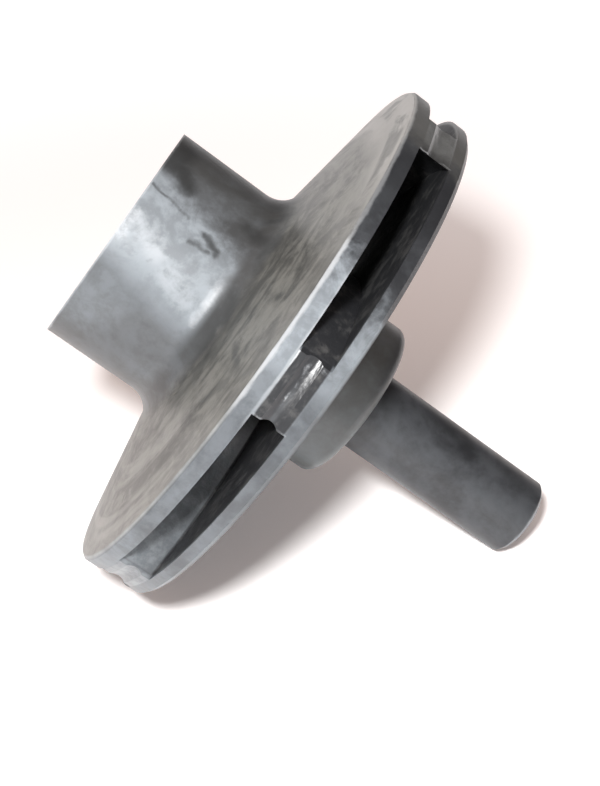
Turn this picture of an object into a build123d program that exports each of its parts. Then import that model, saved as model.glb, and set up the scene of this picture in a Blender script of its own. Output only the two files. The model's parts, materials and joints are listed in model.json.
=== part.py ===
# Closed pump impeller, moulded in one piece: a suction collar, a front shroud, six
# backward-curved vanes, a rear shroud with a hub nose, a boss and a threaded drive stub.
#
# Frame: millimetres. The axis of rotation is Z and the impeller stands on the end of its
# suction collar at z = 0, with the drive stub up. One vane tip ends at VANE_TIP_AZIMUTH, and
# a passage outlet opens from there to the start of the next tip, anticlockwise seen from +Z.

import os
from math import acos, cos, degrees, radians, sin, sqrt, tan

from build123d import *

# Suction collar
COLLAR_DIAMETER = 52.0
COLLAR_WALL = 3.0
COLLAR_FILLET = 6.5

# Front shroud, a shallow cone that rises from the collar to the rim
RIM_DIAMETER = 125.0
FRONT_EDGE_HEIGHT = 34.2
FRONT_RIM_THICKNESS = 3.6
FRONT_CONE_ANGLE = 10.4
FRONT_EDGE_CHAMFER = 0.6
EYE_CHAMFER = 3.7

# Rear shroud, a flat disc
OUTLET_WIDTH = 7.3
REAR_RIM_THICKNESS = 3.4
REAR_EDGE_CHAMFER = 1.0

# Hub nose, which turns the flow outwards
NOSE_HEIGHT = 16.6
NOSE_ROOT_RADIUS = 17.0
NOSE_TIP_RADIUS = 8.5
NOSE_ROOT_FILLET = 9.0
NOSE_TIP_ROUND = 5.0

# Vanes. Each face is one circular arc from the inlet radius to the rim, set out by the
# angle that it makes with the circumference at both ends.
VANE_COUNT = 6
VANE_INLET_RADIUS = 27.0
VANE_TIP_AZIMUTH = -78.6
VANE_TIP_ARC = 13.1
BACK_FACE_INLET_ANGLE = 47.0
BACK_FACE_OUTLET_ANGLE = 36.5
PRESSURE_FACE_INLET_ANGLE = 47.0
PRESSURE_FACE_OUTLET_ANGLE = 32.0
LEADING_EDGE_BULGE = 1.2

# Shallow valley along the middle of each vane tip
TIP_VALLEY_WIDTH = 3.6
TIP_VALLEY_DEPTH = 0.5

# Boss behind the rear shroud
BOSS_DIAMETER = 38.8
BOSS_HEIGHT = 17.8
BOSS_ROOT_CHAMFER = 1.5
BOSS_EDGE_ROUND = 2.3

# Drive stub, with a tapped hole in its end
STUB_DIAMETER = 19.05
STUB_LENGTH = 47.8
STUB_END_CHAMFER = 0.9
TAPPED_HOLE_DIAMETER = 9.9
TAPPED_HOLE_DEPTH = 28.0

# Levels and radii that follow from the sizes above
COLLAR_RADIUS = COLLAR_DIAMETER / 2
EYE_RADIUS = COLLAR_RADIUS - COLLAR_WALL
RIM_RADIUS = RIM_DIAMETER / 2
FRONT_INNER_HEIGHT = FRONT_EDGE_HEIGHT + FRONT_RIM_THICKNESS
REAR_INNER_HEIGHT = FRONT_INNER_HEIGHT + OUTLET_WIDTH
REAR_BACK_HEIGHT = REAR_INNER_HEIGHT + REAR_RIM_THICKNESS
BOSS_RADIUS = BOSS_DIAMETER / 2
BOSS_BACK_HEIGHT = REAR_BACK_HEIGHT + BOSS_HEIGHT
STUB_RADIUS = STUB_DIAMETER / 2
STUB_END_HEIGHT = BOSS_BACK_HEIGHT + STUB_LENGTH
NOSE_TIP_HEIGHT = REAR_INNER_HEIGHT - NOSE_HEIGHT
OVERCUT = 1.0


def cone_height(height_at_rim, radius):
    """Height at a radius of a cone surface that reaches the rim at the given height."""
    return height_at_rim - (RIM_RADIUS - radius) * tan(radians(FRONT_CONE_ANGLE))


def revolved(corners):
    """Solid of revolution about Z from (radius, height, corner radius) triples."""
    points = [(radius, height) for radius, height, _ in corners]
    rounds = [corner_round for _, _, corner_round in corners]
    outline = FilletPolyline(*points, radius=rounds, close=True)
    return revolve(Plane.XZ * make_face(outline), Axis.Z)


def impeller_envelope():
    """The whole outside, from the collar's end to the end of the drive stub."""
    front_edge = RIM_RADIUS - FRONT_EDGE_CHAMFER
    return revolved([
        (0, 0, 0),
        (COLLAR_RADIUS, 0, 0),
        (COLLAR_RADIUS, cone_height(FRONT_EDGE_HEIGHT, COLLAR_RADIUS), COLLAR_FILLET),
        (front_edge, cone_height(FRONT_EDGE_HEIGHT, front_edge), 0),
        (RIM_RADIUS, FRONT_EDGE_HEIGHT + FRONT_EDGE_CHAMFER, 0),
        (RIM_RADIUS, REAR_BACK_HEIGHT - REAR_EDGE_CHAMFER, 0),
        (RIM_RADIUS - REAR_EDGE_CHAMFER, REAR_BACK_HEIGHT, 0),
        (BOSS_RADIUS + BOSS_ROOT_CHAMFER, REAR_BACK_HEIGHT, 0),
        (BOSS_RADIUS, REAR_BACK_HEIGHT + BOSS_ROOT_CHAMFER, 0),
        (BOSS_RADIUS, BOSS_BACK_HEIGHT, BOSS_EDGE_ROUND),
        (STUB_RADIUS, BOSS_BACK_HEIGHT, 0),
        (STUB_RADIUS, STUB_END_HEIGHT - STUB_END_CHAMFER, 0),
        (STUB_RADIUS - STUB_END_CHAMFER, STUB_END_HEIGHT, 0),
        (0, STUB_END_HEIGHT, 0),
    ])


def flow_space():
    """The water's way: in through the eye, round the hub nose and out at the rim."""
    outside = RIM_RADIUS + OVERCUT
    eye_corner = cone_height(FRONT_INNER_HEIGHT, EYE_RADIUS)
    past_chamfer = EYE_RADIUS + EYE_CHAMFER
    return revolved([
        (0, -OVERCUT, 0),
        (EYE_RADIUS, -OVERCUT, 0),
        (EYE_RADIUS, eye_corner - EYE_CHAMFER, 0),
        (past_chamfer, cone_height(FRONT_INNER_HEIGHT, past_chamfer), 0),
        (outside, cone_height(FRONT_INNER_HEIGHT, outside), 0),
        (outside, REAR_INNER_HEIGHT, 0),
        (NOSE_ROOT_RADIUS, REAR_INNER_HEIGHT, NOSE_ROOT_FILLET),
        (NOSE_TIP_RADIUS, NOSE_TIP_HEIGHT, NOSE_TIP_ROUND),
        (0, NOSE_TIP_HEIGHT, 0),
    ])


def polar(radius, azimuth):
    """Point in the XY plane, with its azimuth in degrees."""
    return Vector(radius * cos(radians(azimuth)), radius * sin(radians(azimuth)))


def face_azimuth(radius, inlet_angle, outlet_angle, outlet_azimuth):
    """Azimuth at which a vane face crosses a radius.

    The face is the arc that meets the inlet circle and the rim at the two angles.
    """
    inlet_cos = VANE_INLET_RADIUS * cos(radians(inlet_angle))
    outlet_cos = RIM_RADIUS * cos(radians(outlet_angle))
    arc_radius = (RIM_RADIUS**2 - VANE_INLET_RADIUS**2) / (2 * (outlet_cos - inlet_cos))
    offset = sqrt(arc_radius**2 + RIM_RADIUS**2 - 2 * arc_radius * outlet_cos)

    def from_centre(at_radius):
        """Angle at the axis between the arc's centre and its point at a radius."""
        square = at_radius**2 + offset**2 - arc_radius**2
        return degrees(acos(square / (2 * at_radius * offset)))

    return outlet_azimuth + from_centre(RIM_RADIUS) - from_centre(radius)


def vane_face(inlet_angle, outlet_angle, outlet_azimuth):
    """Inlet, middle and rim points of one vane face."""
    middle_radius = (VANE_INLET_RADIUS + RIM_RADIUS) / 2
    radii = (VANE_INLET_RADIUS, middle_radius, RIM_RADIUS)
    return [
        polar(radius, face_azimuth(radius, inlet_angle, outlet_angle, outlet_azimuth))
        for radius in radii
    ]


def vane_block():
    """One vane as a prism through both shrouds, ending a little past the rim."""
    back = vane_face(
        BACK_FACE_INLET_ANGLE, BACK_FACE_OUTLET_ANGLE, VANE_TIP_AZIMUTH - VANE_TIP_ARC
    )
    pressure = vane_face(
        PRESSURE_FACE_INLET_ANGLE, PRESSURE_FACE_OUTLET_ANGLE, VANE_TIP_AZIMUTH
    )
    inlet_middle = (back[0] + pressure[0]) / 2
    nose = inlet_middle - inlet_middle.normalized() * LEADING_EDGE_BULGE
    outline = [
        ThreePointArc(back[2], back[1], back[0]),
        ThreePointArc(back[0], nose, pressure[0]),
        ThreePointArc(pressure[0], pressure[1], pressure[2]),
        Line(pressure[2], pressure[2] * (1 + OVERCUT / RIM_RADIUS)),
        Line(pressure[2] * (1 + OVERCUT / RIM_RADIUS), back[2] * (1 + OVERCUT / RIM_RADIUS)),
        Line(back[2] * (1 + OVERCUT / RIM_RADIUS), back[2]),
    ]
    return extrude(make_face(outline), REAR_BACK_HEIGHT)


def tip_valley():
    """Ring that hollows the middle of the vane tips at mid height of the outlet."""
    half_width = TIP_VALLEY_WIDTH / 2
    tube_radius = (half_width**2 + TIP_VALLEY_DEPTH**2) / (2 * TIP_VALLEY_DEPTH)
    ring_radius = RIM_RADIUS + tube_radius - TIP_VALLEY_DEPTH
    middle_height = FRONT_INNER_HEIGHT + OUTLET_WIDTH / 2
    return Pos(0, 0, middle_height) * Torus(ring_radius, tube_radius)


def tapped_hole():
    """Blind hole in the end of the stub, at the diameter of the tapping drill."""
    floor = Plane.XY.offset(STUB_END_HEIGHT - TAPPED_HOLE_DEPTH)
    return extrude(floor * Circle(TAPPED_HOLE_DIAMETER / 2), TAPPED_HOLE_DEPTH + OVERCUT)


def impeller():
    """The impeller: its envelope less the flow space between the vanes."""
    passages = flow_space()
    passages -= PolarLocations(0, VANE_COUNT) * vane_block()
    return impeller_envelope() - passages - tip_valley() - tapped_hole()


os.makedirs("parts", exist_ok=True)
export_step(impeller(), "parts/impeller.step")
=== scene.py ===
"""Looks of a closed pump impeller, moulded in one piece, laid out as a Blender add-on.

Lengths are metres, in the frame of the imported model: the axis of rotation is Z, the impeller
stands on its suction collar at z = 0, and the drive stub points up.
"""

import json
import math

import bpy
from bpy.props import FloatProperty, FloatVectorProperty, IntProperty, PointerProperty
from mathutils import Matrix, Vector


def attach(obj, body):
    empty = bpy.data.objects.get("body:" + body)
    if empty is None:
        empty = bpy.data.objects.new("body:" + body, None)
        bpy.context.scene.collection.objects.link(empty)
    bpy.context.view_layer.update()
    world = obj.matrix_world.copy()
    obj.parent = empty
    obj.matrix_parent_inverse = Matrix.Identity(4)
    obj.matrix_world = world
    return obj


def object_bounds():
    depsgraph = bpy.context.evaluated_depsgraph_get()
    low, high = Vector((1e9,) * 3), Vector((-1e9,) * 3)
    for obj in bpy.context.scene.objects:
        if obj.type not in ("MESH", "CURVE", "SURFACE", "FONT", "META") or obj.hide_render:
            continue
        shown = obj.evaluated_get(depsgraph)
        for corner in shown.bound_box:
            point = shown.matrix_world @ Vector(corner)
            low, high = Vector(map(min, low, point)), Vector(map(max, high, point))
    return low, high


bl_info = {
    "name": "Pump impeller looks",
    "version": (1, 0, 0),
    "blender": (4, 5, 0),
    "location": "View3D > Sidebar > Impeller",
    "description": "Finishes a moulded pump impeller and sets its stage",
    "category": "Object",
}

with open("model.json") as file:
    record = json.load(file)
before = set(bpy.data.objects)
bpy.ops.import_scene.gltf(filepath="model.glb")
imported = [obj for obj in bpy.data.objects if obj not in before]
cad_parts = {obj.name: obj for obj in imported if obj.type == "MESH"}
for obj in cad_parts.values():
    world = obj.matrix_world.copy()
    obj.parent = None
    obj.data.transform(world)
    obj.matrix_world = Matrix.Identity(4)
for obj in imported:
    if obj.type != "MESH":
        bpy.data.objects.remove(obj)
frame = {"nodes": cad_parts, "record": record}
CAD_LOW, CAD_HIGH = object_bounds()

NODE = "impeller"
BODY = "root"
SLOT = "moulded_plastic"
MM = 0.001

MOUNTS = {mount["name"]: mount for mount in frame["record"]["mounts"]}
COLLAR_RADIUS = MOUNTS["suction_collar"]["dims"]["r_mm"] * MM
STUB_RADIUS = MOUNTS["drive_stub"]["dims"]["r_mm"] * MM
HOLE_RADIUS = MOUNTS["stub_thread"]["dims"]["r_mm"] * MM
HOLE_LENGTH = MOUNTS["stub_thread"]["dims"]["length_mm"] * MM
SHOULDER_HEIGHT = MOUNTS["seal_shoulder"]["pos_m"][2]
RIM_RADIUS = CAD_HIGH.x
STUB_END_HEIGHT = CAD_HIGH.z

# Heights of the shrouds at the rim
FRONT_EDGE_HEIGHT = 34.2 * MM
FRONT_INNER_HEIGHT = 37.8 * MM
REAR_INNER_HEIGHT = 45.1 * MM
REAR_BACK_HEIGHT = 48.5 * MM

# Where the camera stands and how it is turned
CAMERA_PLACE = Vector((-0.000136, -0.285445, 0.0003))
CAMERA_FORWARD = Vector((0.019674, 0.982359, 0.185965))
CAMERA_RIGHT = Vector((-0.579019, -0.140439, 0.803127))
CAMERA_LENS = 58.627
CAMERA_SENSOR = 36.0
CAMERA_CLIP_START = 0.01

# The impeller leans on its rear rim and on the end of its stub: the floor touches both, where
# their chamfers begin
FLOOR_CONTACT_AZIMUTH = math.radians(35.6)
RIM_CHAMFER = 1.0 * MM
STUB_CHAMFER = 0.9 * MM
FLOOR_SIZE = 3.0
FLOOR_GAP = 0.00005

# The floor as the camera sees it: its glow, the distances between which that grows, and how
# strong it is far off
FLOOR_GLOW = (0.90, 0.98, 1.05, 1.0)
FLOOR_GLOW_FROM = 0.065
FLOOR_GLOW_TO = 0.55
FLOOR_GLOW_FAR = 0.85

# The flash stands close to the camera and points at the impeller's middle
FLASH_PLACE = Vector((-0.0247, -0.3425, -0.0772))
FLASH_AIM = Vector((0.0, 0.0, SHOULDER_HEIGHT * 0.75))
FLASH_SIZE = 0.045

# The lit floor is white while its shadows stay warm
FLOOR_FLASH_TINT = (0.82, 1.0, 1.10)

# The dark side of the room: its middle, and where it begins and is darkest, as cosines
DIM_SIDE = Vector((-0.95, 0.10, 0.25)).normalized()
DIM_FROM = 0.1
DIM_TO = 0.75

WHITE = (1.0, 1.0, 1.0, 1.0)

# The thread in the stub's hole: how far its foot sinks into the wall, half the width of its foot
# in pitches, the turns left plain at the hole's bottom, and the angle that stays sharp
THREAD_SINK = 0.05 * MM
THREAD_HALF_FOOT = 0.45
THREAD_CLEAR_TURNS = 2
THREAD_SHARP_ANGLE = math.radians(35)

# Noise patterns: scale, detail, roughness and distortion
CLOUDS = (46.0, 5.0, 0.62, 0.8)
MIDDLE = (125.0, 4.0, 0.62, 0.9)
MOTTLE = (300.0, 4.0, 0.65)
SPECKS = (900.0, 3.0, 0.6)
GRAIN = (2600.0, 2.0)
PATCHES = (17.0, 2.0, 0.55, 0.3)
BROKEN_EDGE = (260.0, 4.0)

# Patterns drawn out on the unrolled surface: scale outwards, along the turn and upwards, then
# detail, roughness and distortion
STREAKS = ((180.0, 62.0, 180.0), 5.0, 0.65, 0.9)
ARCS = ((190.0, 9.0, 60.0), 2.0, 0.55, 0.4)
RIPPLE = ((900.0, 260.0, 900.0), 2.0)

# Values of a pattern between which its mask rises
PATCH_EDGE = (0.47, 0.62)
CLOUD_EDGE = (0.38, 0.62)
BLOTCH_EDGE = (0.42, 0.58)
FLOW_EDGE = (0.41, 0.58)
SPECKLE_EDGE = (0.47, 0.60)
STAIN_EDGE = (0.40, 0.52)
SWEPT_ARC_EDGE = (0.50, 0.60)
SUNK_CLOUD_EDGE = (0.46, 0.56)

# The arcs' dark streaks: two values of the pattern, and their share at each
SUNK_ARC_EDGE = (0.36, 0.50, 0.7, 0.0)

# How far marks wander from their straight lines, and how finely, and where they fade, in widths
WANDER_REACH = 0.0020
WANDER_SCALE = 420.0
WANDER_DETAIL = 3.0
MARK_FADE = (0.2, 1.4)

# How ragged the wear and painted highlight of an edge is, and where it fades, in widths
EDGE_RAGGED = 1.6
EDGE_FADE = (0.2, 1.1)

# Radii and heights between which one look gives way to the next
RIM_FROM = (RIM_RADIUS - 1.1 * MM, RIM_RADIUS - 0.4 * MM)
COLLAR_TO = (22 * MM, 25.5 * MM)
AHEAD_TO = (27 * MM, 31 * MM)
SHROUD_FROM = (27.5 * MM, 31 * MM)
SHROUD_TO = (FRONT_EDGE_HEIGHT + 0.1 * MM, FRONT_EDGE_HEIGHT + 0.5 * MM)
REAR_FROM = (REAR_INNER_HEIGHT - 0.4 * MM, REAR_INNER_HEIGHT + 0.1 * MM)
BACK_FROM = (REAR_BACK_HEIGHT - 0.2 * MM, REAR_BACK_HEIGHT + 0.6 * MM)
STUB_FROM = (SHOULDER_HEIGHT - 0.4 * MM, SHOULDER_HEIGHT + 0.4 * MM)
DUST_FROM = (48 * MM, 60 * MM)
SWEPT_FROM = (36 * MM, 46 * MM)
STAIN_TO = (31 * MM, 46 * MM)
VANE_FACE_FROM = (32 * MM, 42 * MM)
VANE_FACE_TO = (REAR_INNER_HEIGHT - 0.6 * MM, REAR_INNER_HEIGHT - 0.2 * MM)

# Bands, each as its two limits and its softness
VANE_TIP_BAND = (FRONT_INNER_HEIGHT + 0.3 * MM, REAR_INNER_HEIGHT - 0.3 * MM, 0.25 * MM)
PASSAGE_BAND = (FRONT_INNER_HEIGHT - 0.2 * MM, REAR_INNER_HEIGHT + 0.2 * MM, 0.1 * MM)
FILLET_BAND = (21.5 * MM, 27.5 * MM, 1.0 * MM)
SWEPT_BAND = (49 * MM, 55 * MM, 3 * MM)
BOSS_ROOT_BAND = (SHOULDER_HEIGHT - 2.5 * MM, SHOULDER_HEIGHT + 5 * MM, 2.5 * MM)

# Zones round the axis, each as its two turns and its softness in degrees, and its strength.
# They have ragged ends, and on the collar they lean: turns added at its end and at its root
RAGGED_TURN = 40.0
COLLAR_LEAN = (7.0, -3.0)
# Painted shade on the collar's upper side
SHADED_AHEAD = (-100, -44, 10.0, 0.35)
# Dust, with a painted grazing reflection, on the upper outer edge of the front shroud
SHROUD_DUST_AND_SHEEN = (-120, -34, 16.0, 1.0)
SWEPT_ARCS = (24, 120, 16.0, 0.36)
SWEPT_RING = (-112, -58, 12.0, 0.80)
# Painted shade in the corner where the boss meets the stub, on its upper side
ROOT_PAINTED_SHADE = (-130, -12, 22.0, 0.75)
STAINED_FILLET = (-95, 30, 16.0, 1.0)
# Bloom with a painted highlight where the collar faces the flash
COLLAR_BLOOM_AND_HIGHLIGHT = ((-29, 19, 12.0, 1.0), (4, 44, 16.0, 0.10), (-120, -30, 10.0, 0.06))
# Bloom on the rims in patches, with a painted highlight where they face the flash and painted
# bounce light on their lower side
FRONT_RIM_BLOOM_AND_LIGHT = ((-18, 5, 5.0, 0.88), (-2, 88, 8.0, 0.27), (-90, -54, 8.0, 0.10))
REAR_RIM_BLOOM_AND_LIGHT = ((-15, 4, 6.0, 0.66), (-2, 88, 8.0, 0.24), (46, 88, 8.0, 0.30))
REAR_RIM_FAR = (70, 300, 10.0, 1.0)
# Bloom on the vane tips: dust on the upper tip, painted light from the floor on the lower tip
VANE_TIP_BLOOM_AND_LIGHT = ((47, 90, 4.0, 0.40), (-90, -52, 4.0, 0.3))
# Painted light on the vane faces in the lower outlet, strongest where the front rim shades them
VANE_FACE_PAINTED_LIGHT = ((5, 38, 6.0, 1.0), (30, 70, 6.0, 0.36))
# Painted light: paler patches on the far side, which only the fill light reaches
FAR_SIDE_PAINTED_LIGHT = (100, 260, 25.0, 0.3)
# More painted light, in the scuff colour, on the shaded part of those vane faces
PAINTED_LIGHT_VANE_FACE = (2, 30, 5.0, 0.9)
DUSTED_RIM = (-120, -49, 6.0, 1.0)
BARE_RIM = (-48, -24, 7.0, 0.8)
# Wear of the rim's edges, with painted highlights where they face the flash
FRONT_EDGE_WEAR_AND_HIGHLIGHT = ((-24, 13, 6.0, 0.5), (-125, -20, 6.0, 0.2))
INNER_EDGE_WEAR_AND_HIGHLIGHT = (-16, 12, 6.0, 0.3)

# Shares of one colour over another, and of the pale patches in each bloom
GREYED_SHARE = 0.85
BOSS_OLIVE_SHARE = 0.2
LEAST_DUST = 0.22
STAIN_SHARE = 0.8
DUSTED_RIM_SHARE = 0.38
COLLAR_PATCH_SHARE = 0.3
RIM_PATCH_SHARE = 0.4
FAR_RIM_PATCH_SHARE = 0.3
LEAST_BLOTCH = 0.62

# Worn round edges, partly painted edge highlights: radius, height, width of the wear, its zones
# and its least strength
WORN_AND_HIGHLIT_EDGES = (
    (RIM_RADIUS - 0.35 * MM, FRONT_EDGE_HEIGHT + 0.2 * MM, 0.65 * MM, FRONT_EDGE_WEAR_AND_HIGHLIGHT, 0.06),
    (RIM_RADIUS - 0.1 * MM, FRONT_INNER_HEIGHT, 0.5 * MM, (INNER_EDGE_WEAR_AND_HIGHLIGHT,), 0.0),
    (COLLAR_RADIUS, 0.0, 0.5 * MM, (), 0.4),
    (STUB_RADIUS - 0.3 * MM, STUB_END_HEIGHT - 0.3 * MM, 0.9 * MM, (), 0.22),
)

# Gloss of the plastic: its index of refraction, its roughness in the passages and on the
# collar's fillet, and how much the mottle changes that
PLASTIC_IOR = 1.5
PASSAGE_ROUGHNESS = 0.55
FILLET_ROUGHNESS = 0.37
ROUGHNESS_SPREAD = 0.2

# Shares of the patterns in the relief, and the bump that it gives
GRAIN_RELIEF = 0.12
SPECK_RELIEF = 0.3
MOTTLE_RELIEF = 0.9
MARK_RELIEF = 0.5
RIPPLE_RELIEF = 3.4
BUMP_STRENGTH = 0.4
BUMP_DISTANCE = 0.12 * MM

# Dark marks on the collar and its fillet: a scratch, a V-shaped nick and stains. Each is two
# ends, as turn in degrees, radius and height, then the half width in millimetres and the strength
DARK_MARKS = (
    ((-28.5, 26.0, 0.5), (-26.8, 26.0, 4.4), 0.42, 0.60),
    ((-26.8, 26.0, 4.4), (-24.6, 26.0, 10.4), 0.38, 0.36),
    ((-16.6, 26.0, 13.2), (-16.0, 26.0, 17.2), 0.70, 0.62),
    ((-22.6, 26.0, 15.0), (-19.2, 26.0, 18.8), 0.95, 0.78),
    ((-19.2, 26.0, 18.8), (-17.0, 26.0, 18.9), 0.95, 0.70),
    ((-38.0, 26.0, 6.4), (-45.0, 26.0, 3.8), 2.6, 0.85),
    ((-43.0, 26.0, 1.6), (-60.0, 26.0, 2.6), 3.2, 0.80),
    ((-37.5, 27.0, 24.0), (-35.5, 28.6, 27.0), 2.4, 0.75),
    ((-39.0, 26.2, 21.6), (-38.0, 26.2, 23.4), 1.8, 0.50),
    ((-29.0, 29.0, 26.6), (-16.0, 30.0, 27.4), 1.8, 0.50),
    ((2.0, 30.5, 27.6), (16.0, 31.5, 27.9), 1.7, 0.40),
    ((6.0, 42.0, 30.6), (8.5, 53.0, 32.6), 1.1, 0.40),
    ((20.0, 48.0, 31.7), (12.0, 51.5, 32.3), 1.5, 0.40),
)

# Pale marks, written the same way: scuffs on the collar, a painted highlight at its end and
# another along its fillet, the mould's parting line along one vane tip with a painted highlight on
# it and a painted glint, and painted highlights along the edges of two vane tips
PALE_MARKS_AND_HIGHLIGHTS = (
    ((-2.0, 26.0, 0.2), (-12.0, 26.0, 0.8), 2.0, 0.70),
    ((-11.0, 26.0, 3.0), (-4.0, 26.0, 9.0), 2.8, 0.30),
    ((2.0, 26.0, 14.0), (8.0, 26.0, 19.0), 3.0, 0.20),
    ((-8.0, 26.2, 22.6), (3.0, 26.3, 22.9), 1.2, 0.10),
    ((3.0, 26.3, 22.9), (13.0, 26.4, 23.0), 1.0, 0.35),
    ((-0.8, 62.4, 41.2), (3.6, 62.4, 41.4), 0.45, 0.80),
    ((3.6, 62.4, 41.4), (11.0, 62.4, 41.3), 0.28, 0.60),
    ((-1.1, 62.5, 43.7), (-0.8, 62.5, 45.0), 0.45, 1.0),
    ((-49.0, 62.5, 38.2), (-49.0, 62.5, 44.9), 0.30, 0.55),
    ((11.2, 62.5, 38.2), (11.2, 62.5, 44.9), 0.28, 0.30),
)


class NodeMaker:
    """Adds nodes to one tree, so that each effect reads as a few short lines."""

    def __init__(self, tree):
        self.tree = tree

    def add(self, kind, **settings):
        """A new node, with its own settings."""
        node = self.tree.nodes.new(kind)
        for name, value in settings.items():
            setattr(node, name, value)
        return node

    def feed(self, source, socket):
        """Links an output to an input, or sets the input where the source is a value."""
        if isinstance(source, bpy.types.NodeSocket):
            self.tree.links.new(source, socket)
        else:
            socket.default_value = source

    def math(self, operation, first, second=0.0):
        """Result of a Math node."""
        node = self.add("ShaderNodeMath", operation=operation)
        for source, socket in zip((first, second), node.inputs):
            self.feed(source, socket)
        return node.outputs[0]

    def both(self, first, second):
        """Mask where both masks hold."""
        return self.math("MULTIPLY", first, second)

    def most(self, *masks):
        """Strongest of several masks."""
        result = masks[0]
        for mask in masks[1:]:
            result = self.math("MAXIMUM", result, mask)
        return result

    def band(self, value, low, high, soft):
        """Mask between two limits, eased by a softness on each side of both."""
        return self.both(
            self.ramp(value, low - soft, low + soft),
            self.until(value, high - soft, high + soft),
        )

    def until(self, value, low, high):
        """Mask that ends between two limits."""
        return self.ramp(value, low, high, 1.0, 0.0)

    def opposite(self, mask):
        """The rest of a mask."""
        return self.math("SUBTRACT", 1.0, mask)

    def mix(self, factor, first, second):
        """Number mixed from two numbers."""
        node = self.add("ShaderNodeMix", data_type="FLOAT")
        for source, socket in zip((factor, first, second), node.inputs[0:1] + node.inputs[2:4]):
            self.feed(source, socket)
        return node.outputs[0]

    def vector(self, operation, first, second=None, scale=None):
        """Result of a Vector Math node, a number for a length or a dot product."""
        node = self.add("ShaderNodeVectorMath", operation=operation)
        self.feed(first, node.inputs[0])
        if second is not None:
            self.feed(second, node.inputs[1])
        if scale is not None:
            self.feed(scale, node.inputs["Scale"])
        return node.outputs["Value" if operation in ("LENGTH", "DOT_PRODUCT") else "Vector"]

    def ramp(self, value, low, high, to_low=0.0, to_high=1.0, kind="SMOOTHSTEP"):
        """Value eased from one range into another, and clamped."""
        node = self.add("ShaderNodeMapRange", interpolation_type=kind)
        for source, socket in zip((value, low, high, to_low, to_high), node.inputs):
            self.feed(source, socket)
        return node.outputs[0]

    def blend(self, factor, first, second):
        """Colour mixed from two colours."""
        node = self.add("ShaderNodeMix", data_type="RGBA")
        self.feed(factor, node.inputs[0])
        self.feed(first, node.inputs[6])
        self.feed(second, node.inputs[7])
        return node.outputs[2]

    def noise(self, place, scale, detail=3.0, roughness=0.55, distortion=0.0):
        """Height of a noise pattern, about 0 to 1."""
        node = self.add("ShaderNodeTexNoise")
        self.feed(place, node.inputs["Vector"])
        node.inputs["Scale"].default_value = scale
        node.inputs["Detail"].default_value = detail
        node.inputs["Roughness"].default_value = roughness
        node.inputs["Distortion"].default_value = distortion
        return node.outputs[0]

    def mix_shader(self, factor, first, second):
        """Shader mixed from two shaders."""
        node = self.add("ShaderNodeMixShader")
        for source, socket in zip((factor, first, second), node.inputs):
            self.feed(source, socket)
        return node.outputs[0]

    def coloured(self, kind, colour):
        """Shader of one kind and one colour."""
        node = self.add(kind)
        self.feed(colour, node.inputs["Color"])
        return node.outputs[0]


def opaque(colour):
    """A colour setting as a colour for a socket."""
    return tuple(colour) + (1.0,)


def new_group(name, inputs, outputs):
    """An empty shader node group with named float, vector or colour sockets."""
    group = bpy.data.node_groups.new(name, "ShaderNodeTree")
    kinds = {"float": "NodeSocketFloat", "vector": "NodeSocketVector", "color": "NodeSocketColor"}
    for label, kind in inputs:
        group.interface.new_socket(label, in_out="INPUT", socket_type=kinds[kind])
    for label, kind in outputs:
        group.interface.new_socket(label, in_out="OUTPUT", socket_type=kinds[kind])
    maker = NodeMaker(group)
    return group, maker, maker.add("NodeGroupInput"), maker.add("NodeGroupOutput")


def polar_group():
    """Radius, height and turn about the axis of rotation, from the object's own coordinates."""
    group, make, given, result = new_group(
        "polar_place",
        [("Place", "vector")],
        [("Radius", "float"), ("Height", "float"), ("Turn", "float"), ("Unrolled", "vector")],
    )
    parts = make.add("ShaderNodeSeparateXYZ")
    make.feed(given.outputs["Place"], parts.inputs[0])
    x, y, z = parts.outputs
    squares = make.math("ADD", make.math("MULTIPLY", x, x), make.math("MULTIPLY", y, y))
    radius = make.math("SQRT", squares)
    turn = make.math("ARCTAN2", x, make.math("MULTIPLY", y, -1.0))
    unrolled = make.add("ShaderNodeCombineXYZ")
    for source, socket in zip((radius, make.math("MULTIPLY", turn, radius), z), unrolled.inputs):
        make.feed(source, socket)
    make.feed(radius, result.inputs["Radius"])
    make.feed(z, result.inputs["Height"])
    make.feed(turn, result.inputs["Turn"])
    make.feed(unrolled.outputs[0], result.inputs["Unrolled"])
    return group


def edge_wear_and_highlight_group():
    """Mask of the worn line along one round edge, partly a painted highlight, given by its radius
    and height.
    """
    group, make, given, result = new_group(
        "ring_wear",
        [
            ("Place", "vector"), ("Radius", "float"), ("Height", "float"),
            ("Edge Radius", "float"), ("Edge Height", "float"), ("Width", "float"),
        ],
        [("Mask", "float")],
    )
    out = make.math("SUBTRACT", given.outputs["Radius"], given.outputs["Edge Radius"])
    up = make.math("SUBTRACT", given.outputs["Height"], given.outputs["Edge Height"])
    squares = make.math("ADD", make.math("MULTIPLY", out, out), make.math("MULTIPLY", up, up))
    away = make.math("DIVIDE", make.math("SQRT", squares), given.outputs["Width"])
    broken = make.noise(given.outputs["Place"], *BROKEN_EDGE)
    broken = make.math("MULTIPLY", make.math("SUBTRACT", broken, 0.5), EDGE_RAGGED)
    ragged = make.math("ADD", away, broken)
    make.feed(make.until(ragged, *EDGE_FADE), result.inputs["Mask"])
    return group


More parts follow.
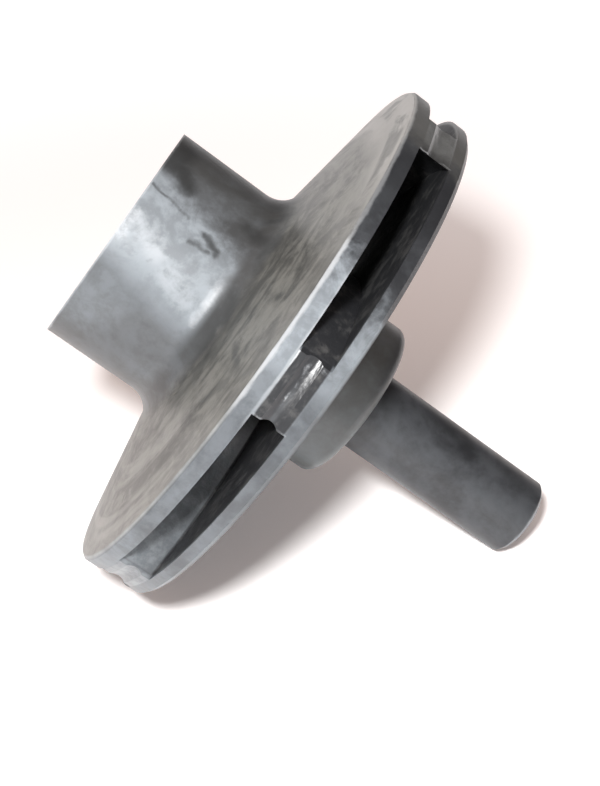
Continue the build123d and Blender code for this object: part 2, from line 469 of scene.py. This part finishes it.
def stroke_group():
    """Mask of one short mark: all that lies within a width of the line between two points."""
    group, make, given, result = new_group(
        "stroke_mark",
        [("Place", "vector"), ("Start", "vector"), ("End", "vector"), ("Width", "float")],
        [("Mask", "float")],
    )
    wander = make.add("ShaderNodeTexNoise")
    make.feed(given.outputs["Place"], wander.inputs["Vector"])
    wander.inputs["Scale"].default_value = WANDER_SCALE
    wander.inputs["Detail"].default_value = WANDER_DETAIL
    centred = make.vector("SUBTRACT", wander.outputs["Color"], (0.5, 0.5, 0.5))
    shift = make.vector("SCALE", centred, scale=WANDER_REACH)
    place = make.vector("ADD", given.outputs["Place"], shift)
    along = make.vector("SUBTRACT", given.outputs["End"], given.outputs["Start"])
    reach = make.vector("SUBTRACT", place, given.outputs["Start"])
    reached = make.vector("DOT_PRODUCT", reach, along)
    share = make.math("DIVIDE", reached, make.vector("DOT_PRODUCT", along, along))
    share = make.ramp(share, 0.0, 1.0, kind="LINEAR")
    nearest = make.vector("SCALE", along, scale=share)
    away = make.vector("LENGTH", make.vector("SUBTRACT", reach, nearest))
    away = make.math("DIVIDE", away, given.outputs["Width"])
    make.feed(make.until(away, *MARK_FADE), result.inputs["Mask"])
    return group


def on_surface(turn, radius, height):
    """Point at a turn in degrees, a radius and a height in millimetres."""
    angle = math.radians(turn)
    return Vector((radius * math.sin(angle), -radius * math.cos(angle), height)) * MM


class Surface:
    """Patterns and places on the impeller, which the parts of its finish share."""

    def __init__(self, make):
        self.make = make
        self.place = make.add("ShaderNodeTexCoord").outputs["Object"]
        polar = make.add("ShaderNodeGroup", node_tree=bpy.data.node_groups["polar_place"])
        make.feed(self.place, polar.inputs["Place"])
        self.radius, self.height = polar.outputs["Radius"], polar.outputs["Height"]
        self.turn, self.unrolled = polar.outputs["Turn"], polar.outputs["Unrolled"]
        self.add_patterns()
        self.add_places()
        self.add_turns()

    def drawn_out(self, factors, *values):
        """Height of a noise pattern drawn out on the unrolled surface."""
        stretched = self.make.vector("MULTIPLY", self.unrolled, factors)
        return self.make.noise(stretched, 1.0, *values)

    def add_patterns(self):
        """Coarse clouds, mottle, streaks along the turn, specks and fine grain."""
        make = self.make
        self.clouds = make.noise(self.place, *CLOUDS)
        self.middle = make.noise(self.place, *MIDDLE)
        self.mottle = make.noise(self.place, *MOTTLE)
        self.specks = make.noise(self.place, *SPECKS)
        self.grain = make.noise(self.place, *GRAIN)
        self.streaks = self.drawn_out(*STREAKS)
        self.arcs = self.drawn_out(*ARCS)
        self.ripple = self.drawn_out(*RIPPLE)
        self.patches = make.ramp(make.noise(self.place, *PATCHES), *PATCH_EDGE)
        self.halved = make.mix(0.5, self.clouds, self.middle)
        self.cloudy = make.ramp(make.mix(0.3, self.clouds, self.mottle), *CLOUD_EDGE)
        coarse = make.mix(0.6, self.clouds, self.middle)
        self.blotchy = make.ramp(make.mix(0.35, coarse, self.mottle), *BLOTCH_EDGE)

    def add_places(self):
        """Masks of the rim, vane tips, passages, collar, front and back."""
        make, radius, height = self.make, self.radius, self.height
        self.at_rim = make.ramp(radius, *RIM_FROM)
        self.tips = make.band(height, *VANE_TIP_BAND)
        self.land = make.both(self.tips, self.at_rim)
        self.inside = make.both(make.band(height, *PASSAGE_BAND), make.opposite(self.at_rim))
        self.collar = make.until(height, *COLLAR_TO)
        self.ahead = make.until(height, *AHEAD_TO)
        self.behind = make.ramp(height, *BACK_FROM)
        self.not_behind = make.opposite(self.behind)
        self.front = make.both(make.ramp(radius, *SHROUD_FROM), make.until(height, *SHROUD_TO))
        self.is_rear = make.ramp(height, *REAR_FROM)
        self.boss = make.both(self.behind, make.opposite(make.ramp(height, *STUB_FROM)))
        self.vane_face = make.both(
            make.both(self.inside, make.ramp(radius, *VANE_FACE_FROM)),
            make.until(height, *VANE_FACE_TO),
        )

    def add_turns(self):
        """Turn in degrees, made ragged so that no zone has a straight edge."""
        make = self.make
        ragged = make.math("SUBTRACT", make.mix(0.2, self.halved, self.mottle), 0.5)
        self.degrees = make.math(
            "ADD", make.math("MULTIPLY", self.turn, 180.0 / math.pi),
            make.math("MULTIPLY", ragged, RAGGED_TURN),
        )
        self.around = make.math("FLOORED_MODULO", self.degrees, 360.0)
        lean = make.ramp(self.height, 0.0, COLLAR_TO[0], *COLLAR_LEAN, "LINEAR")
        self.leaning = make.math("ADD", self.degrees, lean)

    def zone(self, low, high, soft, strength, along=None):
        """Mask between two turns in degrees."""
        band = self.make.band(self.degrees if along is None else along, low, high, soft)
        return self.make.math("MULTIPLY", band, strength)

    def zones(self, rows, *masks, along=None):
        """Strongest of several zones and of the masks added to them."""
        return self.make.most(*(self.zone(*row, along) for row in rows), *masks)

    def marked(self, marks):
        """Mask of all the marks in one list."""
        make = self.make
        result = 0.0
        for start, end, width, strength in marks:
            mark = make.add("ShaderNodeGroup", node_tree=bpy.data.node_groups["stroke_mark"])
            make.feed(self.place, mark.inputs["Place"])
            make.feed(on_surface(*start), mark.inputs["Start"])
            make.feed(on_surface(*end), mark.inputs["End"])
            make.feed(width * MM, mark.inputs["Width"])
            result = make.most(make.math("MULTIPLY", mark.outputs["Mask"], strength), result)
        return result

    def worn_and_highlit(self):
        """Mask of the worn lines along the round edges, partly painted edge highlights."""
        make = self.make
        result = 0.0
        for edge_radius, edge_height, width, rows, least in WORN_AND_HIGHLIT_EDGES:
            ring = make.add("ShaderNodeGroup", node_tree=bpy.data.node_groups["ring_wear"])
            for source, label in (
                (self.place, "Place"), (self.radius, "Radius"), (self.height, "Height"),
                (edge_radius, "Edge Radius"), (edge_height, "Edge Height"), (width, "Width"),
            ):
                make.feed(source, ring.inputs[label])
            strength = self.zones(rows, least)
            result = make.most(make.math("MULTIPLY", ring.outputs["Mask"], strength), result)
        return result

    def bloom_and_light(self):
        """Mask of the pale bloom and painted light: bloom with a painted highlight on the collar's
        near side, bloom in patches with a painted highlight and painted bounce light on the rims,
        painted light on the outlets' vane faces, and painted light in patches on the far side.
        """
        make = self.make
        collar_patches = make.math("MULTIPLY", self.patches, COLLAR_PATCH_SHARE)
        rim_patches = make.math("MULTIPLY", self.patches, RIM_PATCH_SHARE)
        far_patches = make.both(self.patches, self.zone(*REAR_RIM_FAR, self.around))
        far_patches = make.math("MULTIPLY", far_patches, FAR_RIM_PATCH_SHARE)
        on_collar = self.zones(COLLAR_BLOOM_AND_HIGHLIGHT, collar_patches, along=self.leaning)
        on_front = self.zones(FRONT_RIM_BLOOM_AND_LIGHT, rim_patches)
        on_rear = self.zones(REAR_RIM_BLOOM_AND_LIGHT, far_patches)
        on_rims = make.mix(self.is_rear, on_front, on_rear)
        on_rims = make.mix(self.tips, on_rims, self.zones(VANE_TIP_BLOOM_AND_LIGHT))
        on_rims = make.both(make.both(on_rims, self.at_rim), self.not_behind)
        # Painted light on the vane faces in the lower outlet
        faces_painted_light = make.both(self.vane_face, self.zones(VANE_FACE_PAINTED_LIGHT))
        # Painted light in patches on the far side
        far_side_painted_light = make.both(self.zone(*FAR_SIDE_PAINTED_LIGHT, self.around), self.patches)
        bloom_and_light = make.most(make.both(on_collar, self.collar), on_rims, faces_painted_light, far_side_painted_light)
        return make.both(bloom_and_light, make.mix(self.blotchy, LEAST_BLOTCH, 1.0))


def plain_colour(make, surface, look):
    """Graphite plastic, greyer on the collar and the boss, with painted shade on the collar's
    upper side.
    """
    plain = make.blend(surface.cloudy, opaque(look.black), opaque(look.graphite))
    grey = make.blend(surface.cloudy, opaque(look.grey_dark), opaque(look.grey_pale))
    greyed = make.math("MULTIPLY", make.most(surface.ahead, surface.boss), GREYED_SHARE)
    plain = make.blend(greyed, plain, grey)
    olive = make.math("MULTIPLY", surface.boss, BOSS_OLIVE_SHARE)
    plain = make.blend(olive, plain, opaque(look.olive_pale))
    # Painted shade on the collar's upper side
    shaded = make.both(surface.zone(*SHADED_AHEAD), surface.ahead)
    return make.blend(shaded, plain, opaque(look.olive_dark))


def shroud_colour(make, surface, look):
    """Olive-grey front shroud with flow marks, and dust towards its edge, which on the upper side
    is also a painted grazing reflection.
    """
    flow = make.mix(0.25, make.mix(0.55, surface.streaks, surface.halved), surface.mottle)
    flow = make.ramp(flow, *FLOW_EDGE)
    warm = make.blend(flow, opaque(look.olive_dark), opaque(look.olive_pale))
    # Dust towards the edge, on the upper side also a painted grazing reflection
    dust_and_sheen = make.most(surface.zone(*SHROUD_DUST_AND_SHEEN), LEAST_DUST)
    dust_and_sheen = make.both(make.ramp(surface.radius, *DUST_FROM), dust_and_sheen)
    warm = make.blend(dust_and_sheen, warm, opaque(look.dust))
    swept = make.most(
        make.both(make.ramp(surface.arcs, *SWEPT_ARC_EDGE), surface.zone(*SWEPT_ARCS)),
        make.both(make.band(surface.radius, *SWEPT_BAND), surface.zone(*SWEPT_RING)),
    )
    swept = make.both(swept, make.ramp(surface.radius, *SWEPT_FROM))
    warm = make.blend(swept, warm, opaque(look.dust))
    sunk = make.ramp(surface.clouds, *SUNK_CLOUD_EDGE)
    sunk = make.both(make.ramp(surface.arcs, *SUNK_ARC_EDGE), sunk)
    return make.blend(sunk, warm, opaque(look.olive_dark))


def moulding_colour(make, surface, look):
    """Colour of the whole moulding, with painted shade at the boss's root, before it is bloomed,
    worn and marked.
    """
    plain, shroud = plain_colour(make, surface, look), shroud_colour(make, surface, look)
    colour = make.blend(surface.front, plain, shroud)
    # Painted shade at the root of the boss
    root = make.both(make.band(surface.height, *BOSS_ROOT_BAND), surface.zone(*ROOT_PAINTED_SHADE))
    colour = make.blend(root, colour, opaque(look.black))
    stained = make.both(make.until(surface.radius, *STAIN_TO), surface.zone(*STAINED_FILLET))
    stained = make.both(stained, make.both(surface.ahead, make.ramp(surface.clouds, *STAIN_EDGE)))
    stained = make.math("MULTIPLY", make.both(stained, make.opposite(surface.collar)), STAIN_SHARE)
    colour = make.blend(stained, colour, opaque(look.stain))
    speckled = make.ramp(make.mix(0.5, surface.middle, surface.mottle), *SPECKLE_EDGE)
    speckled = make.blend(speckled, opaque(look.black), opaque(look.grey_dark))
    return make.blend(make.most(surface.inside, surface.land), colour, speckled)


def weathered_colour(make, surface, look, bloom_and_light, dark):
    """Colour of the moulding with its bloom and painted light, its worn edges with painted edge
    highlights, and its marks, some of them painted highlights and glints.
    """
    colour = make.blend(bloom_and_light, moulding_colour(make, surface, look), opaque(look.bloom_and_light))
    # Painted light on the shaded part of the vane face
    painted_light_face = make.both(surface.vane_face, surface.zone(*PAINTED_LIGHT_VANE_FACE))
    colour = make.blend(painted_light_face, colour, opaque(look.scuff_and_highlight))
    dusted = make.both(make.both(surface.zone(*DUSTED_RIM), surface.at_rim), surface.not_behind)
    dusted = make.math("MULTIPLY", dusted, DUSTED_RIM_SHARE)
    colour = make.blend(dusted, colour, opaque(look.olive_pale))
    bare = make.both(surface.zone(*BARE_RIM), make.both(surface.at_rim, surface.not_behind))
    colour = make.blend(bare, colour, opaque(look.black))
    # Worn edges, partly painted edge highlights
    colour = make.blend(surface.worn_and_highlit(), colour, opaque(look.scuff_and_highlight))
    # Pale scuffs, and painted highlights and glints
    pale = make.both(surface.marked(PALE_MARKS_AND_HIGHLIGHTS), surface.blotchy)
    colour = make.blend(pale, colour, opaque(look.scuff_and_highlight))
    return make.blend(dark, colour, opaque(look.stain))


def roughness(make, surface, look, bloom_and_light):
    """Roughness, least on the vane tips and where the fillet is worn smooth."""
    mottled = make.math("MULTIPLY", surface.mottle, ROUGHNESS_SPREAD)
    rough = make.math("ADD", mottled, look.roughness - ROUGHNESS_SPREAD / 2)
    rough = make.mix(surface.land, rough, make.mix(bloom_and_light, look.gloss, look.roughness))
    rough = make.mix(surface.inside, rough, PASSAGE_ROUGHNESS)
    return make.mix(make.band(surface.height, *FILLET_BAND), rough, FILLET_ROUGHNESS)


def relief(make, surface, dark):
    """Height of grain, specks and mottle, less the dark marks, with a ripple in the passages."""
    rippled = make.both(surface.ripple, make.most(surface.inside, surface.land))
    height = make.math(
        "ADD", make.math("MULTIPLY", surface.grain, GRAIN_RELIEF),
        make.math("MULTIPLY", surface.specks, SPECK_RELIEF),
    )
    height = make.math("ADD", height, make.math("MULTIPLY", surface.mottle, MOTTLE_RELIEF))
    height = make.math("SUBTRACT", height, make.math("MULTIPLY", dark, MARK_RELIEF))
    return make.math("ADD", height, make.math("MULTIPLY", rippled, RIPPLE_RELIEF))


def moulded_plastic(name, look):
    """Graphite-black glass-filled plastic with pale bloom, flow marks, scuffs and dark marks, and
    with painted highlights, painted light and painted shade.
    """
    material = bpy.data.materials.new(name)
    material.use_nodes = True
    make = NodeMaker(material.node_tree)
    shader = material.node_tree.nodes["Principled BSDF"]
    surface = Surface(make)
    bloom_and_light, dark = surface.bloom_and_light(), surface.marked(DARK_MARKS)
    make.feed(weathered_colour(make, surface, look, bloom_and_light, dark), shader.inputs["Base Color"])
    make.feed(roughness(make, surface, look, bloom_and_light), shader.inputs["Roughness"])
    shader.inputs["IOR"].default_value = PLASTIC_IOR
    bump = make.add("ShaderNodeBump")
    bump.inputs["Strength"].default_value = BUMP_STRENGTH
    bump.inputs["Distance"].default_value = BUMP_DISTANCE
    make.feed(relief(make, surface, dark), bump.inputs["Height"])
    make.feed(bump.outputs[0], shader.inputs["Normal"])
    return material


def floor_axes():
    """Direction from the impeller to the floor, and the floor's distance from the origin."""
    rim = Vector((RIM_RADIUS, REAR_BACK_HEIGHT - RIM_CHAMFER))
    end = Vector((STUB_RADIUS, STUB_END_HEIGHT - STUB_CHAMFER))
    along = end - rim
    across = Vector((along.y, -along.x)).normalized()
    outward = Vector((
        across.x * math.cos(FLOOR_CONTACT_AZIMUTH),
        across.x * math.sin(FLOOR_CONTACT_AZIMUTH),
        across.y,
    ))
    return outward, rim.dot(across)


def floor_material(look):
    """White floor that keeps the shadow, and that is clear when it is seen from below."""
    material = bpy.data.materials.new("floor_paper")
    material.use_nodes = True
    make = NodeMaker(material.node_tree)
    output = material.node_tree.nodes["Material Output"]
    material.node_tree.nodes.remove(material.node_tree.nodes["Principled BSDF"])
    away = make.vector("LENGTH", make.add("ShaderNodeTexCoord").outputs["Object"])
    glow = make.add("ShaderNodeEmission")
    glow.inputs["Color"].default_value = FLOOR_GLOW
    strength = make.ramp(away, FLOOR_GLOW_FROM, FLOOR_GLOW_TO, look.floor_lift, FLOOR_GLOW_FAR)
    make.feed(strength, glow.inputs["Strength"])
    shown = make.add("ShaderNodeAddShader")
    make.feed(make.coloured("ShaderNodeBsdfDiffuse", opaque(look.floor_shown)), shown.inputs[0])
    make.feed(glow.outputs[0], shown.inputs[1])
    ray = make.add("ShaderNodeLightPath")
    looked_at = make.most(ray.outputs["Is Camera Ray"], ray.outputs["Is Glossy Ray"])
    paper = make.coloured("ShaderNodeBsdfDiffuse", opaque(look.floor))
    seen = make.mix_shader(looked_at, paper, shown.outputs[0])
    from_below = make.add("ShaderNodeNewGeometry").outputs["Backfacing"]
    clear = make.add("ShaderNodeBsdfTransparent").outputs[0]
    make.feed(make.mix_shader(from_below, seen, clear), output.inputs["Surface"])
    return material


class ImpellerLook(bpy.types.PropertyGroup):
    """Colours and gloss of the moulded plastic."""

    # The black colour is also the painted shade at the boss's root
    black: FloatVectorProperty(
        name="Black", description="Plastic in the passages and at its darkest",
        subtype="COLOR", min=0.0, max=1.0, default=(0.026, 0.027, 0.030),
    )
    graphite: FloatVectorProperty(
        name="Graphite", description="Plain plastic at its palest",
        subtype="COLOR", min=0.0, max=1.0, default=(0.066, 0.070, 0.077),
    )
    grey_dark: FloatVectorProperty(
        name="Dark grey", description="Collar and boss at their darkest",
        subtype="COLOR", min=0.0, max=1.0, default=(0.078, 0.078, 0.078),
    )
    grey_pale: FloatVectorProperty(
        name="Pale grey", description="Collar and boss at their palest",
        subtype="COLOR", min=0.0, max=1.0, default=(0.132, 0.141, 0.150),
    )
    # The dark olive colour is also the painted shade on the collar's upper side
    olive_dark: FloatVectorProperty(
        name="Dark olive", description="Front shroud at its darkest",
        subtype="COLOR", min=0.0, max=1.0, default=(0.066, 0.066, 0.060),
    )
    olive_pale: FloatVectorProperty(
        name="Pale olive", description="Front shroud at its palest",
        subtype="COLOR", min=0.0, max=1.0, default=(0.225, 0.223, 0.203),
    )
    # The dust colour is also a painted grazing reflection along the front shroud's upper edge
    dust: FloatVectorProperty(
        name="Dust", description="Outer edge of the front shroud",
        subtype="COLOR", min=0.0, max=1.0, default=(0.42, 0.41, 0.39),
    )
    # The bloom colour is also painted light: highlights on the collar and rims, and light on the
    # vane faces and the far side
    bloom_and_light: FloatVectorProperty(
        name="Bloom", description="Pale scuffed plastic on the collar and the rim",
        subtype="COLOR", min=0.0, max=1.0, default=(0.36, 0.40, 0.435),
    )
    # The scuff colour is also painted light: highlights on edges, the fillet and vane tips, and
    # light on a shaded vane face
    scuff_and_highlight: FloatVectorProperty(
        name="Scuff", description="Plastic where it is scuffed the most",
        subtype="COLOR", min=0.0, max=1.0, default=(0.72, 0.75, 0.78),
    )
    stain: FloatVectorProperty(
        name="Stain", description="Dark marks on the collar",
        subtype="COLOR", min=0.0, max=1.0, default=(0.040, 0.041, 0.041),
    )
    roughness: FloatProperty(
        name="Roughness", description="Mean roughness of the plastic",
        subtype="FACTOR", min=0.0, max=1.0, default=0.40,
    )
    gloss: FloatProperty(
        name="Passage roughness", description="Roughness of the passages and the vane tips",
        subtype="FACTOR", min=0.0, max=1.0, default=0.30,
    )


class ThreadSizes(bpy.types.PropertyGroup):
    """Sizes of the thread in the stub's hole."""

    pitch: FloatProperty(
        name="Pitch", description="Rise of the thread in one turn, 20 to the inch",
        subtype="DISTANCE", unit="LENGTH", default=1.27 * MM,
    )
    depth: FloatProperty(
        name="Depth", description="Height of the thread from the hole's wall to its crest",
        subtype="DISTANCE", unit="LENGTH", default=0.6 * MM,
    )
    steps: IntProperty(
        name="Steps", description="Straight steps in one turn of the thread", default=48,
    )


class StageLook(bpy.types.PropertyGroup):
    """Floor, flash and fill light."""

    floor: FloatVectorProperty(
        name="Floor", description="Colour of the floor",
        subtype="COLOR", min=0.0, max=1.0, default=(0.86, 0.85, 0.84),
    )
    floor_shown: FloatVectorProperty(
        name="Floor shown", description="Colour of the floor as the camera sees it",
        subtype="COLOR", min=0.0, max=2.0, default=(0.95, 0.82, 0.765),
    )
    floor_lift: FloatProperty(
        name="Floor lift", description="Brightness added to the floor as the camera sees it",
        default=0.115,
    )
    flash: FloatProperty(
        name="Flash", description="Power of the flash beside the camera",
        unit="POWER", default=1.1,
    )
    floor_flash: FloatProperty(
        name="Floor flash", description="Power of the flash that lights only the floor",
        unit="POWER", default=1.8,
    )
    fill: FloatVectorProperty(
        name="Fill", description="Colour of the light from all round",
        subtype="COLOR", min=0.0, max=1.0, default=(0.47, 0.41, 0.385),
    )
    dim: FloatVectorProperty(
        name="Dim side", description="Colour of the light from the dark side of the room",
        subtype="COLOR", min=0.0, max=1.0, default=(0.03, 0.03, 0.034),
    )


class IMPELLER_OT_stage(bpy.types.Operator):
    """Set the camera, the floor, the flash and the fill light"""

    bl_idname = "impeller.stage"
    bl_label = "Set the stage"

    def execute(self, context):
        look = context.scene.impeller_stage
        up = CAMERA_RIGHT.cross(CAMERA_FORWARD)
        turned = Matrix((CAMERA_RIGHT, up, -CAMERA_FORWARD)).transposed().to_4x4()
        bpy.ops.object.camera_add()
        camera = context.object
        camera.name = "camera"
        camera.matrix_world = Matrix.Translation(CAMERA_PLACE) @ turned
        camera.data.sensor_width = CAMERA_SENSOR
        camera.data.lens = CAMERA_LENS
        camera.data.clip_start = CAMERA_CLIP_START
        context.scene.camera = camera

        outward, distance = floor_axes()
        facing = (-outward).to_track_quat("Z", "Y")
        bpy.ops.mesh.primitive_plane_add(
            size=FLOOR_SIZE, location=outward * (distance + FLOOR_GAP), rotation=facing.to_euler()
        )
        floor = context.object
        floor.name = "floor"
        floor.data.materials.append(floor_material(look))

        bpy.ops.object.light_add(type="AREA", location=FLASH_PLACE)
        flash = context.object
        flash.name = "flash"
        flash.data.shape = "DISK"
        flash.data.size = FLASH_SIZE
        flash.data.energy = look.flash
        flash.rotation_euler = (FLASH_AIM - FLASH_PLACE).to_track_quat("-Z", "Y").to_euler()

        floor_only = bpy.data.collections.new("floor_only")
        floor_only.objects.link(floor)
        bpy.ops.object.select_all(action="DESELECT")
        flash.select_set(True)
        bpy.ops.object.duplicate()
        boost = context.object
        boost.name = "floor_flash"
        boost.data.energy = look.floor_flash
        boost.data.color = FLOOR_FLASH_TINT
        boost.light_linking.receiver_collection = floor_only

        world = bpy.data.worlds.new("room")
        context.scene.world = world
        world.use_nodes = True
        make = NodeMaker(world.node_tree)
        room = world.node_tree.nodes["Background"]
        room.inputs["Color"].default_value = opaque(look.fill)
        way = make.add("ShaderNodeTexCoord").outputs["Generated"]
        dim = make.ramp(make.vector("DOT_PRODUCT", way, DIM_SIDE), DIM_FROM, DIM_TO)
        mirrored = make.coloured("ShaderNodeBackground", make.blend(dim, WHITE, opaque(look.dim)))
        white = make.coloured("ShaderNodeBackground", WHITE)
        ray = make.add("ShaderNodeLightPath")
        reflected = make.mix_shader(ray.outputs["Is Glossy Ray"], room.outputs[0], mirrored)
        seen_through = make.most(ray.outputs["Is Camera Ray"], ray.outputs["Is Transmission Ray"])
        seen = make.mix_shader(seen_through, reflected, white)
        make.feed(seen, world.node_tree.nodes["World Output"].inputs["Surface"])
        context.scene.view_settings.view_transform = "Standard"
        return {"FINISHED"}


class IMPELLER_OT_moulding(bpy.types.Operator):
    """Give the moulding its weathered graphite-black finish"""

    bl_idname = "impeller.moulding"
    bl_label = "Finish the moulding"

    def execute(self, context):
        polar_group()
        edge_wear_and_highlight_group()
        stroke_group()
        moulding = frame["nodes"][NODE]
        moulding.data.materials.clear()
        moulding.data.materials.append(moulded_plastic(SLOT, context.scene.impeller_look))
        return {"FINISHED"}


class IMPELLER_OT_thread(bpy.types.Operator):
    """Cut the thread in the stub's hole"""

    bl_idname = "impeller.thread"
    bl_label = "Add the thread"

    def execute(self, context):
        sizes = context.scene.impeller_thread
        crest = HOLE_RADIUS - sizes.depth
        root = HOLE_RADIUS + THREAD_SINK
        bottom = STUB_END_HEIGHT - HOLE_LENGTH + THREAD_CLEAR_TURNS * sizes.pitch
        turns = int((STUB_END_HEIGHT - bottom) / sizes.pitch) - 1
        bpy.ops.mesh.primitive_circle_add(
            vertices=3, radius=1.0, fill_type="NOTHING", location=(0.0, 0.0, 0.0)
        )
        thread = context.object
        thread.name = "stub_thread"
        half_foot = THREAD_HALF_FOOT * sizes.pitch
        places = (
            (crest, 0.0, bottom), (root, 0.0, bottom + half_foot), (root, 0.0, bottom - half_foot),
        )
        for vertex, spot in zip(thread.data.vertices, places):
            vertex.co = spot
        screw = thread.modifiers.new("helix", "SCREW")
        screw.axis = "Z"
        screw.angle = 2 * math.pi
        screw.screw_offset = sizes.pitch
        screw.iterations = turns
        screw.steps = screw.render_steps = sizes.steps
        screw.use_merge_vertices = False
        bpy.ops.object.modifier_apply(modifier="helix")
        bpy.ops.object.mode_set(mode="EDIT")
        bpy.ops.mesh.select_all(action="SELECT")
        bpy.ops.mesh.fill_holes(sides=3)
        bpy.ops.mesh.select_all(action="SELECT")
        bpy.ops.mesh.normals_make_consistent(inside=False)
        bpy.ops.object.mode_set(mode="OBJECT")
        bpy.ops.object.shade_smooth_by_angle(angle=THREAD_SHARP_ANGLE)
        thread.data.materials.append(bpy.data.materials[SLOT])
        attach(thread, BODY)
        return {"FINISHED"}


class IMPELLER_PT_panel(bpy.types.Panel):
    """Pieces of the impeller and its stage"""

    bl_idname = "IMPELLER_PT_panel"
    bl_label = "Pump impeller"
    bl_space_type = "VIEW_3D"
    bl_region_type = "UI"
    bl_category = "Impeller"

    def draw(self, context):
        for operator in OPERATORS:
            self.layout.operator(operator.bl_idname)
        for group in (
            context.scene.impeller_look,
            context.scene.impeller_thread,
            context.scene.impeller_stage,
        ):
            for name in group.bl_rna.properties.keys():
                if name not in ("rna_type", "name"):
                    self.layout.prop(group, name)


GROUPS = (ImpellerLook, ThreadSizes, StageLook)
OPERATORS = (IMPELLER_OT_stage, IMPELLER_OT_moulding, IMPELLER_OT_thread)


def register():
    """Adds the classes, and their settings on the scene."""
    for new_class in GROUPS + OPERATORS + (IMPELLER_PT_panel,):
        bpy.utils.register_class(new_class)
    bpy.types.Scene.impeller_look = PointerProperty(type=ImpellerLook)
    bpy.types.Scene.impeller_thread = PointerProperty(type=ThreadSizes)
    bpy.types.Scene.impeller_stage = PointerProperty(type=StageLook)


def unregister():
    """Takes the classes and their settings off again."""
    del bpy.types.Scene.impeller_stage
    del bpy.types.Scene.impeller_thread
    del bpy.types.Scene.impeller_look
    for old_class in reversed(GROUPS + OPERATORS + (IMPELLER_PT_panel,)):
        bpy.utils.unregister_class(old_class)


def main():
    """Makes every piece in order."""
    register()
    bpy.ops.impeller.stage()
    bpy.ops.impeller.moulding()
    bpy.ops.impeller.thread()


if __name__ == "__main__":
    main()
